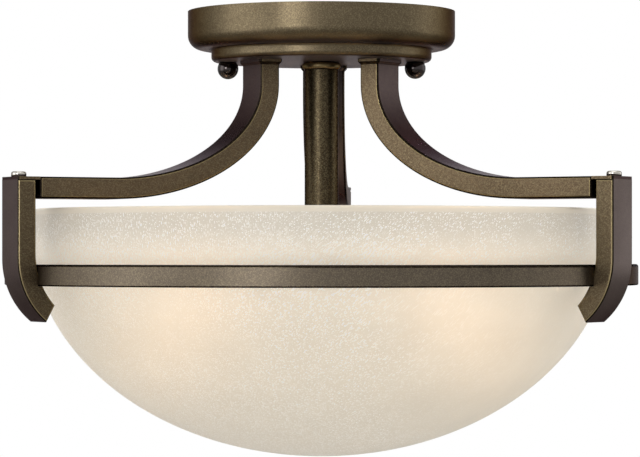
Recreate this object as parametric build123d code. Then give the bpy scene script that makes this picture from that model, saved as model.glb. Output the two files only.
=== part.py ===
from build123d import *

import os
from math import cos, radians, sin, sqrt, tan

# Semi-flush ceiling light: a glass bowl held in a three-armed cage under a round canopy.
# Millimetres, +Z up. The origin is the centre of the canopy's rim, on the ceiling.
# The rear arm lies along +Y, the two front arms stand to the left and right of -Y, the lamps lie along X.

# Canopy: spun steel pan, a wide drum over a smaller step
CANOPY_DIAMETER = 139.7
CANOPY_DRUM_DEPTH = 19.8
CANOPY_DRUM_ROUND = 7.2
CANOPY_NECK_ROUND = 1.5
CANOPY_STEP_INSET = 12.25
CANOPY_STEP_DEPTH = 6.4
CANOPY_STEP_ROUND = 2.4
CANOPY_WALL = 1.2

# Mounting plate on the junction box, and the two studs that carry the canopy
PLATE_THICK = 2.0
PLATE_WIDTH = 24.0
PLATE_END_MARGIN = 7.0
PLATE_CORNER = 4.0
PLATE_WIRE_HOLE = 16.0
BOX_SLOT_SPACING = 79.4
BOX_SLOT_LENGTH = 14.6
BOX_SLOT_WIDTH = 4.8
STUD_DIAMETER = 4.0
STUD_SPACING = 98.0
STUD_NUT_ACROSS = 7.0
STUD_NUT_HEIGHT = 3.2
GROUND_SCREW_OFFSET = 26.0

# Ball nuts under the canopy
BALL_DIAMETER = 11.0
BALL_DROP = 3.4
BALL_BORE_DEPTH = 6.2
BALL_STUD_ENGAGEMENT = 5.4

# Stem: tube on two short threaded nipples, with a rounded collar under the canopy
STEM_DIAMETER = 17.6
STEM_WALL = 1.2
STEM_LENGTH = 72.6
STEM_PLUG = 14.0
COLLAR_DIAMETER = 20.0
COLLAR_HEIGHT = 4.2
COLLAR_ROUND = 1.9
NIPPLE_DIAMETER = 10.0
NIPPLE_BORE = 7.0
NIPPLE_TOP_REACH = 9.5
NIPPLE_PLUG_REACH = 12.0
NIPPLE_LOW_REACH = 5.6
NIPPLE_NUT_ACROSS = 14.0
NIPPLE_NUT_HEIGHT = 3.5
NIPPLE_WASHER_DIAMETER = 17.0
NIPPLE_WASHER_THICK = 1.2

# Arms: flat rectangular tube, straight down from the canopy and swept outwards
ARM_SPREAD = 120.0
ARM_WIDTH = 22.0
ARM_THICK = 10.8
ARM_WALL = 1.6
ARM_EDGE_ROUND = 1.3
ARM_FOOT_RADIUS = 35.5
ARM_STRAIGHT = 12.9
ARM_PLUG = 10.5
ARM_BEND_OUT = 81.0
ARM_BEND_DROP = 49.1
ARM_POST_GAP = 2.2
FOOT_LIP = 1.3
FOOT_THICK = 1.3
FOOT_FLARE = 1.5
FOOT_CORNER = 2.2
TONGUE_THICK = 1.5
TONGUE_CORNER = 1.5
ARM_SCREW_DIAMETER = 5.0
ARM_SCREW_DEPTH = 8.5
ARM_SCREW_HEAD = 9.0
ARM_SCREW_HEAD_HEIGHT = 3.2
ARM_WASHER_DIAMETER = 10.0
ARM_WASHER_THICK = 1.0

# Posts: solid flat bar hanging from the arm ends, hooked inwards at the foot
POST_WIDTH = 22.0
POST_THICK = 9.7
POST_EDGE_ROUND = 1.3
POST_STANDOFF = 0.6
POST_OUTER_STRAIGHT = 39.3
POST_OUTER_BEND = 40.0
POST_OUTER_TURN = 52.0
POST_INNER_STRAIGHT = 36.5
POST_INNER_BEND = 38.0
POST_INNER_TURN = 43.0
POST_SCREW_DIAMETER = 4.0
POST_SCREW_DEPTH = 11.0
POST_SCREW_HEAD = 7.6
POST_SCREW_HEAD_HEIGHT = 2.7

# Ring: rolled angle, an upright band with a ledge inside that carries the glass
RING_DIAMETER = 330.0
RING_DROP = 42.1
RING_HEIGHT = 10.8
RING_BAND = 3.0
RING_LEDGE_THICK = 2.5
RING_TOP_ROUND = 1.4
RING_FOOT_ROUND = 0.8
RING_SCREW_DIAMETER = 4.0
RING_SCREW_HEAD = 7.0
RING_SCREW_HEAD_HEIGHT = 2.2
RING_SCREW_DROP = 4.2
RING_SCREW_BITE = 6.0

# Glass bowl: short upright band over a half-ellipse dome
GLASS_SIDE_GAP = 10.0
GLASS_WALL = 4.0
GLASS_BAND = 11.0
GLASS_DOME = 117.6
GLASS_RIM_ROUND = 1.8
GLASS_HEADROOM = 4.4
GLASS_LEDGE_GAP = 0.3

# Lamp cluster: bent strap under the stem with two lampholders facing out and down
LAMP_TILT = 40.0
STRAP_THICK = 1.5
STRAP_WIDTH = 28.0
STRAP_TOP = 61.0
STRAP_WING = 32.0
STRAP_LEAD_HOLE = 7.0
HOLDER_BASE_DIAMETER = 32.0
HOLDER_BASE_HEIGHT = 9.0
HOLDER_DIAMETER = 36.0
HOLDER_HEIGHT = 38.0
HOLDER_FLOOR = 8.0
HOLDER_ROUND = 2.0
SHELL_DIAMETER = 27.6
SHELL_WALL = 0.5
SHELL_LENGTH = 26.0
CONTACT_DIAMETER = 8.0
CONTACT_THICK = 1.2
HOLDER_SCREW_DIAMETER = 3.0
HOLDER_SCREW_SPREAD = 20.0
HOLDER_SCREW_HEAD = 5.6
HOLDER_SCREW_HEAD_HEIGHT = 1.8
HOLDER_SCREW_DEPTH = 6.0

# Bulbs: compact 48 mm lamps on 26 mm screw caps
BULB_DIAMETER = 48.0
BULB_LENGTH = 88.0
BULB_NECK_BEND = 40.0
BULB_WALL = 1.0
CAP_DIAMETER = 25.9
CAP_LENGTH = 24.5
CAP_WALL = 0.6
CAP_SEAT = 6.0
CAP_TIP_DIAMETER = 9.0
CAP_TIP_HEIGHT = 1.5
CAP_CONE_HEIGHT = 3.0

# Leads from the lampholders up the stem to the connectors in the canopy
LEAD_DIAMETER = 3.0
LEAD_OFFSET = 1.75
LEAD_BACK_RUN = 6.0
LEAD_BACK_BEND = 5.0
LEAD_DIP = 8.0
LEAD_LOW_BEND = 5.4
LEAD_TOP_BEND = 5.0
LEAD_TOP_LEVEL = 11.0
LEAD_INSERT = 4.0
LEAD_REACH = 20.0
CONNECTOR_MOUTH = 10.4
CONNECTOR_TIP = 7.4
CONNECTOR_LENGTH = 20.0
CONNECTOR_BITE = 6.0

# Clearances: clear holes, screwed fits, fixed seats, turning fits and faces that move apart
HOLE_GAP = 0.25
THREAD_GAP = 0.05
SEAT_GAP = 0.05
TURN_GAP = 0.05
FACE_GAP = 0.1
LAMP_GAP = 0.3

# Levels below the ceiling and radii that follow from the sizes above
rear_azimuth = 90.0
arm_azimuths = {
    "right": rear_azimuth - ARM_SPREAD,
    "rear": rear_azimuth,
    "left": rear_azimuth + ARM_SPREAD,
}
lamp_azimuths = {1: rear_azimuth - 90.0, -1: rear_azimuth + 90.0}
canopy_radius = CANOPY_DIAMETER / 2
step_radius = canopy_radius - CANOPY_STEP_INSET
canopy_under = -CANOPY_DRUM_DEPTH - CANOPY_STEP_DEPTH
canopy_floor = canopy_under + CANOPY_WALL
collar_foot = canopy_under - COLLAR_HEIGHT
stem_foot = collar_foot - STEM_LENGTH
bend_level = canopy_under - ARM_STRAIGHT
arm_top = bend_level - ARM_BEND_DROP
arm_under = arm_top - ARM_THICK
arm_outer = ARM_FOOT_RADIUS + ARM_THICK / 2
bend_centre = arm_outer + ARM_BEND_OUT
ring_radius = RING_DIAMETER / 2
post_inner = ring_radius + POST_STANDOFF
post_outer = post_inner + POST_THICK
post_middle = post_inner + POST_THICK / 2
post_top = arm_top - TONGUE_THICK
arm_end = post_inner - ARM_POST_GAP
ring_top = post_top - RING_DROP
ring_foot = ring_top - RING_HEIGHT
ledge_top = ring_foot + RING_LEDGE_THICK
ring_screw_level = ring_top - RING_SCREW_DROP
glass_radius = ring_radius - RING_BAND - GLASS_SIDE_GAP
glass_rim = arm_under - GLASS_HEADROOM
dome_level = glass_rim - GLASS_BAND
seat_radius = glass_radius * sqrt(1 - ((dome_level - ledge_top) / GLASS_DOME) ** 2) + GLASS_LEDGE_GAP
ball_level = canopy_under - BALL_DROP
strap_foot = stem_foot - STRAP_THICK
nipple_mouth = strap_foot - NIPPLE_LOW_REACH
wing_middle = STRAP_WING / 2
holder_back_x = STRAP_TOP / 2 - wing_middle * sin(radians(LAMP_TILT))
holder_back_z = stem_foot - wing_middle * cos(radians(LAMP_TILT))
contact_face = HOLDER_FLOOR + CONTACT_THICK
bulb_tip = contact_face + LAMP_GAP
globe_level = bulb_tip + BULB_LENGTH - BULB_DIAMETER / 2


def at_azimuth(azimuth, shape):
    """Turn a shape modelled along +X about the light's axis."""
    return Rot(0, 0, azimuth) * shape


def rod(diameter, low, high, x=0.0, y=0.0):
    """Upright round bar between two levels."""
    return Pos(x, y, (low + high) / 2) * Cylinder(diameter / 2, high - low)


def tube(diameter, bore, low, high):
    """Upright tube on the light's axis."""
    return rod(diameter, low, high) - rod(bore, low, high)


def hex_nut(across, bore, low, high):
    """Upright hexagon nut on the light's axis."""
    outline = RegularPolygon(across / 2, 6, major_radius=False)
    return extrude(Pos(0, 0, low) * outline, high - low) - rod(bore, low, high)


def pan_screw(shank, head, head_height, length):
    """Screw standing head up, with the underside of its head on z = 0."""
    dome_round = head_height * 0.45
    cap = rod(head, 0, head_height)
    cap = fillet(cap.edges().group_by(Axis.Z)[-1], dome_round)
    return cap + rod(shank, -length, 0)


def spun(points, rounds):
    """Solid of revolution from an outline of (radius, level) points, with some corners rounded."""
    outline = make_face(Polyline(*points, close=True))
    for corner, radius in rounds:
        outline = fillet(outline.vertices().sort_by_distance((*corner, 0))[0], radius)
    return revolve(Plane.XZ * outline, Axis.Z)


def side_edges(bar):
    """The long edges of a bar that was extruded along Y."""
    groups = bar.edges().group_by(Axis.Y)
    return groups[0] + groups[-1]


def canopy_pan(inset):
    """Canopy outline spun solid, smaller all round by inset."""
    drum = canopy_radius - inset
    step = step_radius - inset
    ledge = -CANOPY_DRUM_DEPTH + inset
    floor = canopy_under + inset
    points = [(0, 0), (drum, 0), (drum, ledge), (step, ledge), (step, floor), (0, floor)]
    rounds = [
        ((drum, ledge), CANOPY_DRUM_ROUND - inset),
        ((step, ledge), CANOPY_NECK_ROUND + inset),
        ((step, floor), CANOPY_STEP_ROUND - inset),
    ]
    return spun(points, rounds)


def make_canopy():
    pan = canopy_pan(0) - canopy_pan(CANOPY_WALL)
    pan -= rod(NIPPLE_DIAMETER + HOLE_GAP, canopy_under, 0)
    for side in (-1, 1):
        pan -= rod(STUD_DIAMETER + 2 * HOLE_GAP, canopy_under, 0, side * STUD_SPACING / 2)
    for azimuth in arm_azimuths.values():
        hole = rod(ARM_SCREW_DIAMETER + HOLE_GAP, canopy_under, 0, ARM_FOOT_RADIUS)
        pan -= at_azimuth(azimuth, hole)
    return pan


def make_mounting_plate():
    along_studs = STUD_SPACING + 2 * PLATE_END_MARGIN
    along_box = BOX_SLOT_SPACING + BOX_SLOT_LENGTH + 2 * PLATE_END_MARGIN
    outline = RectangleRounded(along_studs, PLATE_WIDTH, PLATE_CORNER)
    outline += RectangleRounded(PLATE_WIDTH, along_box, PLATE_CORNER)
    slot = Rot(0, 0, 90) * SlotOverall(BOX_SLOT_LENGTH, BOX_SLOT_WIDTH)
    outline -= Circle(PLATE_WIRE_HOLE / 2)
    for side in (-1, 1):
        outline -= Pos(0, side * BOX_SLOT_SPACING / 2) * slot
        outline -= Pos(side * STUD_SPACING / 2, 0) * Circle(STUD_DIAMETER / 2 + THREAD_GAP)
    outline -= Pos(GROUND_SCREW_OFFSET, 0) * Circle(STUD_DIAMETER / 2 + THREAD_GAP)
    return extrude(outline, -PLATE_THICK)


def make_canopy_studs():
    foot = canopy_under - BALL_STUD_ENGAGEMENT
    return [rod(STUD_DIAMETER, foot, 0, side * STUD_SPACING / 2) for side in (-1, 1)]


def make_stud_lock_nuts():
    bore = STUD_DIAMETER + 2 * THREAD_GAP
    nut = hex_nut(STUD_NUT_ACROSS, bore, -PLATE_THICK - STUD_NUT_HEIGHT, -PLATE_THICK)
    return [Pos(side * STUD_SPACING / 2, 0, 0) * nut for side in (-1, 1)]


def make_ground_screw():
    screw = pan_screw(STUD_DIAMETER, POST_SCREW_HEAD, POST_SCREW_HEAD_HEIGHT, PLATE_THICK)
    return Pos(GROUND_SCREW_OFFSET, 0, -PLATE_THICK) * Rot(180, 0, 0) * screw


def make_ball_nut(side):
    ball = Pos(0, 0, ball_level) * Sphere(BALL_DIAMETER / 2)
    seat = canopy_under - FACE_GAP
    ball -= rod(2 * BALL_DIAMETER, seat, seat + BALL_DIAMETER)
    ball -= rod(STUD_DIAMETER + 2 * TURN_GAP, canopy_under - BALL_BORE_DEPTH, canopy_under)
    return Pos(side * STUD_SPACING / 2, 0, 0) * ball


def make_upper_nipple():
    top = canopy_floor + NIPPLE_TOP_REACH
    return tube(NIPPLE_DIAMETER, NIPPLE_BORE, collar_foot - NIPPLE_PLUG_REACH, top)


def make_lower_nipple():
    return tube(NIPPLE_DIAMETER, NIPPLE_BORE, nipple_mouth, stem_foot + NIPPLE_PLUG_REACH)


def make_nipple_washer():
    top = canopy_floor + NIPPLE_WASHER_THICK
    return tube(NIPPLE_WASHER_DIAMETER, NIPPLE_DIAMETER + HOLE_GAP, canopy_floor, top)


def make_nipple_nut(low):
    bore = NIPPLE_DIAMETER + 2 * THREAD_GAP
    return hex_nut(NIPPLE_NUT_ACROSS, bore, low, low + NIPPLE_NUT_HEIGHT)


def make_stem_collar():
    bead = rod(COLLAR_DIAMETER, collar_foot, canopy_under)
    bead = fillet(bead.edges().filter_by(GeomType.CIRCLE), COLLAR_ROUND)
    return bead - rod(NIPPLE_DIAMETER + HOLE_GAP, collar_foot, canopy_under)


def make_stem_tube():
    stem = tube(STEM_DIAMETER, NIPPLE_DIAMETER + 2 * THREAD_GAP, stem_foot, collar_foot)
    return stem - rod(STEM_DIAMETER - 2 * STEM_WALL, stem_foot + STEM_PLUG, collar_foot - STEM_PLUG)


def arm_bar(width, inset, top):
    """Swept arm as a solid bar along +X, its section smaller all round by inset."""
    upper_x = ARM_BEND_OUT + inset
    upper_z = ARM_BEND_DROP + inset
    lower_x = ARM_BEND_OUT + ARM_THICK - inset
    lower_z = ARM_BEND_DROP + ARM_THICK - inset
    centre = (bend_centre, bend_level)
    outline = make_face(
        [
            EllipticalCenterArc(centre, upper_x, upper_z, start_angle=180, arc_size=90),
            EllipticalCenterArc(centre, lower_x, lower_z, start_angle=180, arc_size=90),
            Polyline(
                (bend_centre - lower_x, bend_level),
                (bend_centre - lower_x, top),
                (bend_centre - upper_x, top),
                (bend_centre - upper_x, bend_level),
            ),
            Polyline(
                (bend_centre, bend_level - upper_z),
                (arm_end, bend_level - upper_z),
                (arm_end, bend_level - lower_z),
                (bend_centre, bend_level - lower_z),
            ),
        ]
    )
    return extrude(Plane.XZ * outline, width / 2, both=True)


def arm_foot():
    """Plate that spreads the arm's upper end against the canopy, flared down to the arm."""
    plate = RectangleRounded(ARM_THICK + 2 * FOOT_LIP, ARM_WIDTH + 2 * FOOT_LIP, FOOT_CORNER)
    neck = RectangleRounded(ARM_THICK, ARM_WIDTH, ARM_EDGE_ROUND)
    plate_level = canopy_under - FOOT_THICK
    foot = extrude(Pos(ARM_FOOT_RADIUS, 0, plate_level) * plate, FOOT_THICK)
    flare = loft(
        [
            Pos(ARM_FOOT_RADIUS, 0, plate_level - FOOT_FLARE) * neck,
            Pos(ARM_FOOT_RADIUS, 0, plate_level) * plate,
        ],
        ruled=True,
    )
    return foot + flare


def make_arm(azimuth):
    bar = arm_bar(ARM_WIDTH, 0, canopy_under)
    bar = fillet(side_edges(bar), ARM_EDGE_ROUND)
    bar -= arm_bar(ARM_WIDTH - 2 * ARM_WALL, ARM_WALL, canopy_under - ARM_PLUG)
    bar += arm_foot()
    tongue_length = post_outer - arm_end
    tongue = Pos(arm_end + tongue_length / 2, 0) * Rectangle(tongue_length, ARM_WIDTH)
    tongue = fillet(tongue.vertices().group_by(Axis.X)[-1], TONGUE_CORNER)
    bar += extrude(Pos(0, 0, post_top) * tongue, TONGUE_THICK)
    bar -= rod(POST_SCREW_DIAMETER + HOLE_GAP, post_top, arm_top, post_middle)
    screw_hole = ARM_SCREW_DIAMETER + 2 * THREAD_GAP
    bar -= rod(screw_hole, canopy_under - ARM_SCREW_DEPTH - HOLE_GAP, canopy_under, ARM_FOOT_RADIUS)
    return at_azimuth(azimuth, bar)


def make_arm_screws():
    seat = canopy_floor + ARM_WASHER_THICK
    length = seat - canopy_under + ARM_SCREW_DEPTH
    screw = pan_screw(ARM_SCREW_DIAMETER, ARM_SCREW_HEAD, ARM_SCREW_HEAD_HEIGHT, length)
    screw = Pos(ARM_FOOT_RADIUS, 0, seat) * screw
    return [at_azimuth(azimuth, screw) for azimuth in arm_azimuths.values()]


def make_arm_washers():
    washer = tube(ARM_WASHER_DIAMETER, ARM_SCREW_DIAMETER + HOLE_GAP, 0, ARM_WASHER_THICK)
    washer = Pos(ARM_FOOT_RADIUS, 0, canopy_floor) * washer
    return [at_azimuth(azimuth, washer) for azimuth in arm_azimuths.values()]


def make_post(azimuth):
    outer_centre = (post_outer - POST_OUTER_BEND, post_top - POST_OUTER_STRAIGHT)
    inner_centre = (post_inner - POST_INNER_BEND, post_top - POST_INNER_STRAIGHT)
    outer_hook = CenterArc(outer_centre, POST_OUTER_BEND, 0, -POST_OUTER_TURN)
    inner_hook = CenterArc(inner_centre, POST_INNER_BEND, 0, -POST_INNER_TURN)
    outline = make_face(
        [
            Polyline(inner_hook @ 0, (post_inner, post_top), (post_outer, post_top), outer_hook @ 0),
            outer_hook,
            Line(outer_hook @ 1, inner_hook @ 1),
            inner_hook,
        ]
    )
    bar = extrude(Plane.XZ * outline, POST_WIDTH / 2, both=True)
    bar = fillet(side_edges(bar), POST_EDGE_ROUND)
    bar -= rod(RING_DIAMETER + 2 * SEAT_GAP, ring_foot - SEAT_GAP, ring_top + SEAT_GAP)
    bar -= rod(POST_SCREW_DIAMETER + 2 * THREAD_GAP, post_top - POST_SCREW_DEPTH, post_top, post_middle)
    thread = rod(RING_SCREW_DIAMETER + 2 * THREAD_GAP, 0, ring_radius + RING_SCREW_BITE)
    bar -= Pos(0, 0, ring_screw_level) * Rot(0, 90, 0) * thread
    return at_azimuth(azimuth, bar)


def make_post_screws():
    length = TONGUE_THICK + POST_SCREW_DEPTH - HOLE_GAP
    screw = pan_screw(POST_SCREW_DIAMETER, POST_SCREW_HEAD, POST_SCREW_HEAD_HEIGHT, length)
    screw = Pos(post_middle, 0, arm_top) * screw
    return [at_azimuth(azimuth, screw) for azimuth in arm_azimuths.values()]


def make_ring():
    band_inner = ring_radius - RING_BAND
    points = [
        (seat_radius, ring_foot),
        (ring_radius, ring_foot),
        (ring_radius, ring_top),
        (band_inner, ring_top),
        (band_inner, ledge_top),
        (seat_radius, ledge_top),
    ]
    rounds = [((ring_radius, ring_top), RING_TOP_ROUND), ((ring_radius, ring_foot), RING_FOOT_ROUND)]
    ring = spun(points, rounds)
    hole = Rot(0, 90, 0) * rod(RING_SCREW_DIAMETER + HOLE_GAP, 0, ring_radius)
    for azimuth in arm_azimuths.values():
        ring -= at_azimuth(azimuth, Pos(0, 0, ring_screw_level) * hole)
    return ring


def make_ring_screws():
    length = RING_BAND + RING_SCREW_BITE - HOLE_GAP
    screw = pan_screw(RING_SCREW_DIAMETER, RING_SCREW_HEAD, RING_SCREW_HEAD_HEIGHT, length)
    head_seat = sqrt((ring_radius - RING_BAND) ** 2 - (RING_SCREW_HEAD / 2) ** 2) - SEAT_GAP
    screw = Pos(head_seat, 0, ring_screw_level) * Rot(0, -90, 0) * screw
    return [at_azimuth(azimuth, screw) for azimuth in arm_azimuths.values()]


def glass_dome(inset, top):
    """Bowl outline spun solid, smaller all round by inset and closed by a flat top."""
    radius = glass_radius - inset
    curve = EllipticalCenterArc((0, dome_level), radius, GLASS_DOME - inset, start_angle=270, arc_size=90)
    outline = make_face([curve, Polyline(curve @ 1, (radius, top), (0, top), curve @ 0)])
    return revolve(Plane.XZ * outline, Axis.Z)


def make_glass_bowl():
    bowl = glass_dome(0, glass_rim) - glass_dome(GLASS_WALL, glass_rim)
    return fillet(bowl.edges().group_by(Axis.Z)[-1], GLASS_RIM_ROUND)


def lamp_place(side):
    """Location of a lampholder's back face, with +Z along the lamp: side 1 is the right lamp, -1 the left."""
    return Rot(0, 0, lamp_azimuths[side]) * Pos(holder_back_x, 0, holder_back_z) * Rot(0, 90 + LAMP_TILT, 0)


def make_socket_strap():
    drop = radians(LAMP_TILT)
    along = (-sin(drop), -cos(drop))
    half = STRAP_TOP / 2
    tip = (half + STRAP_WING * along[0], stem_foot + STRAP_WING * along[1])
    inner_tip = (tip[0] + STRAP_THICK * along[1], tip[1] - STRAP_THICK * along[0])
    inner_corner = inner_tip[0] + (strap_foot - inner_tip[1]) * tan(drop)
    right = [(half, stem_foot), tip, inner_tip, (inner_corner, strap_foot)]
    left = [(-x, z) for x, z in reversed(right)]
    outline = make_face(Polyline(*right, *left, close=True))
    strap = extrude(Plane.XZ * outline, STRAP_WIDTH / 2, both=True)
    strap = at_azimuth(lamp_azimuths[1], strap)
    strap -= rod(NIPPLE_DIAMETER + HOLE_GAP, strap_foot, stem_foot)
    holes = rod(STRAP_LEAD_HOLE, -2 * STRAP_THICK, STRAP_THICK)
    for offset in (-1, 1):
        screw_hole = HOLDER_SCREW_DIAMETER + HOLE_GAP
        holes += rod(screw_hole, -2 * STRAP_THICK, STRAP_THICK, 0, offset * HOLDER_SCREW_SPREAD / 2)
    for side in (-1, 1):
        strap -= lamp_place(side) * holes
    return strap


def make_lampholder(side):
    base = HOLDER_BASE_DIAMETER / 2
    barrel = HOLDER_DIAMETER / 2
    bore = SHELL_DIAMETER / 2
    points = [
        (0, 0),
        (base, 0),
        (base, HOLDER_BASE_HEIGHT),
        (barrel, HOLDER_BASE_HEIGHT),
        (barrel, HOLDER_HEIGHT),
        (bore, HOLDER_HEIGHT),
        (bore, HOLDER_FLOOR),
        (0, HOLDER_FLOOR),
    ]
    rounds = [((barrel, HOLDER_BASE_HEIGHT), HOLDER_ROUND), ((barrel, HOLDER_HEIGHT), HOLDER_ROUND)]
    holder = spun(points, rounds)
    holder -= rod(LEAD_DIAMETER + 2 * THREAD_GAP, 0, LEAD_INSERT)
    for offset in (-1, 1):
        screw_hole = HOLDER_SCREW_DIAMETER + 2 * THREAD_GAP
        holder -= rod(screw_hole, 0, HOLDER_SCREW_DEPTH, 0, offset * HOLDER_SCREW_SPREAD / 2)
    return lamp_place(side) * holder


def make_holder_screws():
    length = STRAP_THICK + HOLDER_SCREW_DEPTH - HOLE_GAP
    screw = pan_screw(HOLDER_SCREW_DIAMETER, HOLDER_SCREW_HEAD, HOLDER_SCREW_HEAD_HEIGHT, length)
    screw = Pos(0, 0, -STRAP_THICK) * Rot(180, 0, 0) * screw
    screws = []
    for side in (-1, 1):
        for offset in (-1, 1):
            screws.append(lamp_place(side) * Pos(0, offset * HOLDER_SCREW_SPREAD / 2, 0) * screw)
    return screws


def make_socket_shell(side):
    inner = SHELL_DIAMETER - 2 * SHELL_WALL
    return lamp_place(side) * tube(SHELL_DIAMETER, inner, HOLDER_FLOOR, HOLDER_FLOOR + SHELL_LENGTH)


def make_socket_contact(side):
    return lamp_place(side) * rod(CONTACT_DIAMETER, HOLDER_FLOOR, contact_face)


def make_bulb_cap(side):
    cap = CAP_DIAMETER / 2
    seat = cap - CAP_WALL
    rim = bulb_tip + CAP_LENGTH
    cone = bulb_tip + CAP_TIP_HEIGHT
    points = [
        (0, bulb_tip),
        (CAP_TIP_DIAMETER / 2, bulb_tip),
        (CAP_TIP_DIAMETER / 2, cone),
        (cap, cone + CAP_CONE_HEIGHT),
        (cap, rim),
        (seat, rim),
        (seat, rim - CAP_SEAT),
        (0, rim - CAP_SEAT),
    ]
    return lamp_place(side) * spun(points, [])


def bulb_wall(inset):
    """Neck and globe curves of the bulb's envelope, from the neck's foot up to the crown."""
    neck = CAP_DIAMETER / 2 - CAP_WALL - THREAD_GAP - inset
    globe = BULB_DIAMETER / 2 - inset
    bend = BULB_NECK_BEND + inset
    foot = bulb_tip + CAP_LENGTH - CAP_SEAT
    bend_start = globe_level - sqrt((globe + bend) ** 2 - (neck + bend) ** 2)
    turn = Vector(1, 0).get_angle(Vector(neck + bend, bend_start - globe_level))
    return [
        Line((neck, foot), (neck, bend_start)),
        CenterArc((neck + bend, bend_start), bend, 180, -turn),
        CenterArc((0, globe_level), globe, -turn, 90 + turn),
    ]


def make_bulb_glass(side):
    outer = bulb_wall(0)
    inner = bulb_wall(BULB_WALL)
    foot = Line(outer[0] @ 0, inner[0] @ 0)
    crown = Line(outer[2] @ 1, inner[2] @ 1)
    outline = make_face([*outer, *inner, foot, crown])
    return lamp_place(side) * revolve(Plane.XZ * outline, Axis.Z)


def make_lead(side):
    tilt = radians(LAMP_TILT)
    points = [
        (holder_back_x + LEAD_INSERT * cos(tilt), 0, holder_back_z - LEAD_INSERT * sin(tilt)),
        (holder_back_x - LEAD_BACK_RUN * cos(tilt), 0, holder_back_z + LEAD_BACK_RUN * sin(tilt)),
        (LEAD_OFFSET, 0, nipple_mouth - LEAD_DIP),
        (LEAD_OFFSET, 0, -LEAD_TOP_LEVEL),
        (LEAD_REACH, 0, -LEAD_TOP_LEVEL),
    ]
    path = FilletPolyline(*points, radius=[LEAD_BACK_BEND, LEAD_LOW_BEND, LEAD_TOP_BEND])
    section = Plane(path @ 0, z_dir=path % 0) * Circle(LEAD_DIAMETER / 2)
    return at_azimuth(lamp_azimuths[side], sweep(section, path))


def make_wire_connectors():
    mouth = LEAD_REACH - CONNECTOR_BITE
    cone = Cone(CONNECTOR_MOUTH / 2, CONNECTOR_TIP / 2, CONNECTOR_LENGTH)
    cone = Pos(0, 0, CONNECTOR_LENGTH / 2) * cone
    cone = fillet(cone.edges().group_by(Axis.Z)[-1], CONNECTOR_TIP / 4)
    cone -= rod(LEAD_DIAMETER + 2 * THREAD_GAP, 0, CONNECTOR_BITE)
    cone = Pos(mouth, 0, -LEAD_TOP_LEVEL) * Rot(0, 90, 0) * cone
    return [at_azimuth(azimuth, cone) for azimuth in lamp_azimuths.values()]


def save(name, shape):
    """Write one node: a single piece, or a group of like pieces given as a list."""
    if isinstance(shape, list):
        shape = Compound(children=shape)
    export_step(shape, os.path.join("parts", name + ".step"))


os.makedirs("parts", exist_ok=True)
save("canopy", make_canopy())
save("mounting_plate", make_mounting_plate())
save("canopy_studs", make_canopy_studs())
save("stud_lock_nuts", make_stud_lock_nuts())
save("ground_screw", make_ground_screw())
save("upper_nipple", make_upper_nipple())
save("lower_nipple", make_lower_nipple())
save("nipple_lock_washer", make_nipple_washer())
save("nipple_lock_nut", make_nipple_nut(canopy_floor + NIPPLE_WASHER_THICK))
save("strap_lock_nut", make_nipple_nut(strap_foot - NIPPLE_NUT_HEIGHT))
save("stem_collar", make_stem_collar())
save("stem_tube", make_stem_tube())
for arm_name, arm_azimuth in arm_azimuths.items():
    save(arm_name + "_arm", make_arm(arm_azimuth))
    save(arm_name + "_post", make_post(arm_azimuth))
save("arm_screws", make_arm_screws())
save("arm_washers", make_arm_washers())
save("post_screws", make_post_screws())
save("ring", make_ring())
save("ring_screws", make_ring_screws())
save("glass_bowl", make_glass_bowl())
save("socket_strap", make_socket_strap())
save("lampholder_screws", make_holder_screws())
save("wire_connectors", make_wire_connectors())
for lamp_name, lamp_side in (("left", -1), ("right", 1)):
    save(lamp_name + "_ball_nut", make_ball_nut(lamp_side))
    save(lamp_name + "_lampholder", make_lampholder(lamp_side))
    save(lamp_name + "_socket_shell", make_socket_shell(lamp_side))
    save(lamp_name + "_socket_contact", make_socket_contact(lamp_side))
    save(lamp_name + "_bulb_cap", make_bulb_cap(lamp_side))
    save(lamp_name + "_bulb_glass", make_bulb_glass(lamp_side))
    save(lamp_name + "_lead", make_lead(lamp_side))
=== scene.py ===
from math import cos, radians, sin

import bmesh
import bpy
from mathutils import Matrix, Vector


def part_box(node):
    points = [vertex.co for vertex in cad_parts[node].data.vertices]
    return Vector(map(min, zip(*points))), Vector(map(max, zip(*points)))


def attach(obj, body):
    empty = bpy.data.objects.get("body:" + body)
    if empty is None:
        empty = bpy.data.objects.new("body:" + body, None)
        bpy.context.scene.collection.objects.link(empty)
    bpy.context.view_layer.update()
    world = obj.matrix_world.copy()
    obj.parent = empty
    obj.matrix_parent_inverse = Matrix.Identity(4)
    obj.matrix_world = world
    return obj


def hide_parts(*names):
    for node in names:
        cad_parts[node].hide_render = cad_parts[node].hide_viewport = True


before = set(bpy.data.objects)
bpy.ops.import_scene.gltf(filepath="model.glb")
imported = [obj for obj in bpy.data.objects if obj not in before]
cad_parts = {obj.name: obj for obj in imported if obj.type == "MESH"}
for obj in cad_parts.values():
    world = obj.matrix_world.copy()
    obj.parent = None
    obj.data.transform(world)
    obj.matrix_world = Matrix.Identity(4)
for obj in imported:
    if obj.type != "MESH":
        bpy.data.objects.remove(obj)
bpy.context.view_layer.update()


# Studio: the light hangs free in a plain white room, seen level from the front and a little from the right.
# Large soft lamps stand all round. The key and side lamps light the metal alone and the low front one the
# glass alone, so that the posts throw no hard shadows on the bowl.
def linear(hex_colour):
    """Linear RGBA of an sRGB hex colour."""
    channels = [int(hex_colour[i:i + 2], 16) / 255 for i in (1, 3, 5)]
    return [c / 12.92 if c <= 0.04045 else ((c + 0.055) / 1.055) ** 2.4 for c in channels] + [1.0]


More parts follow.
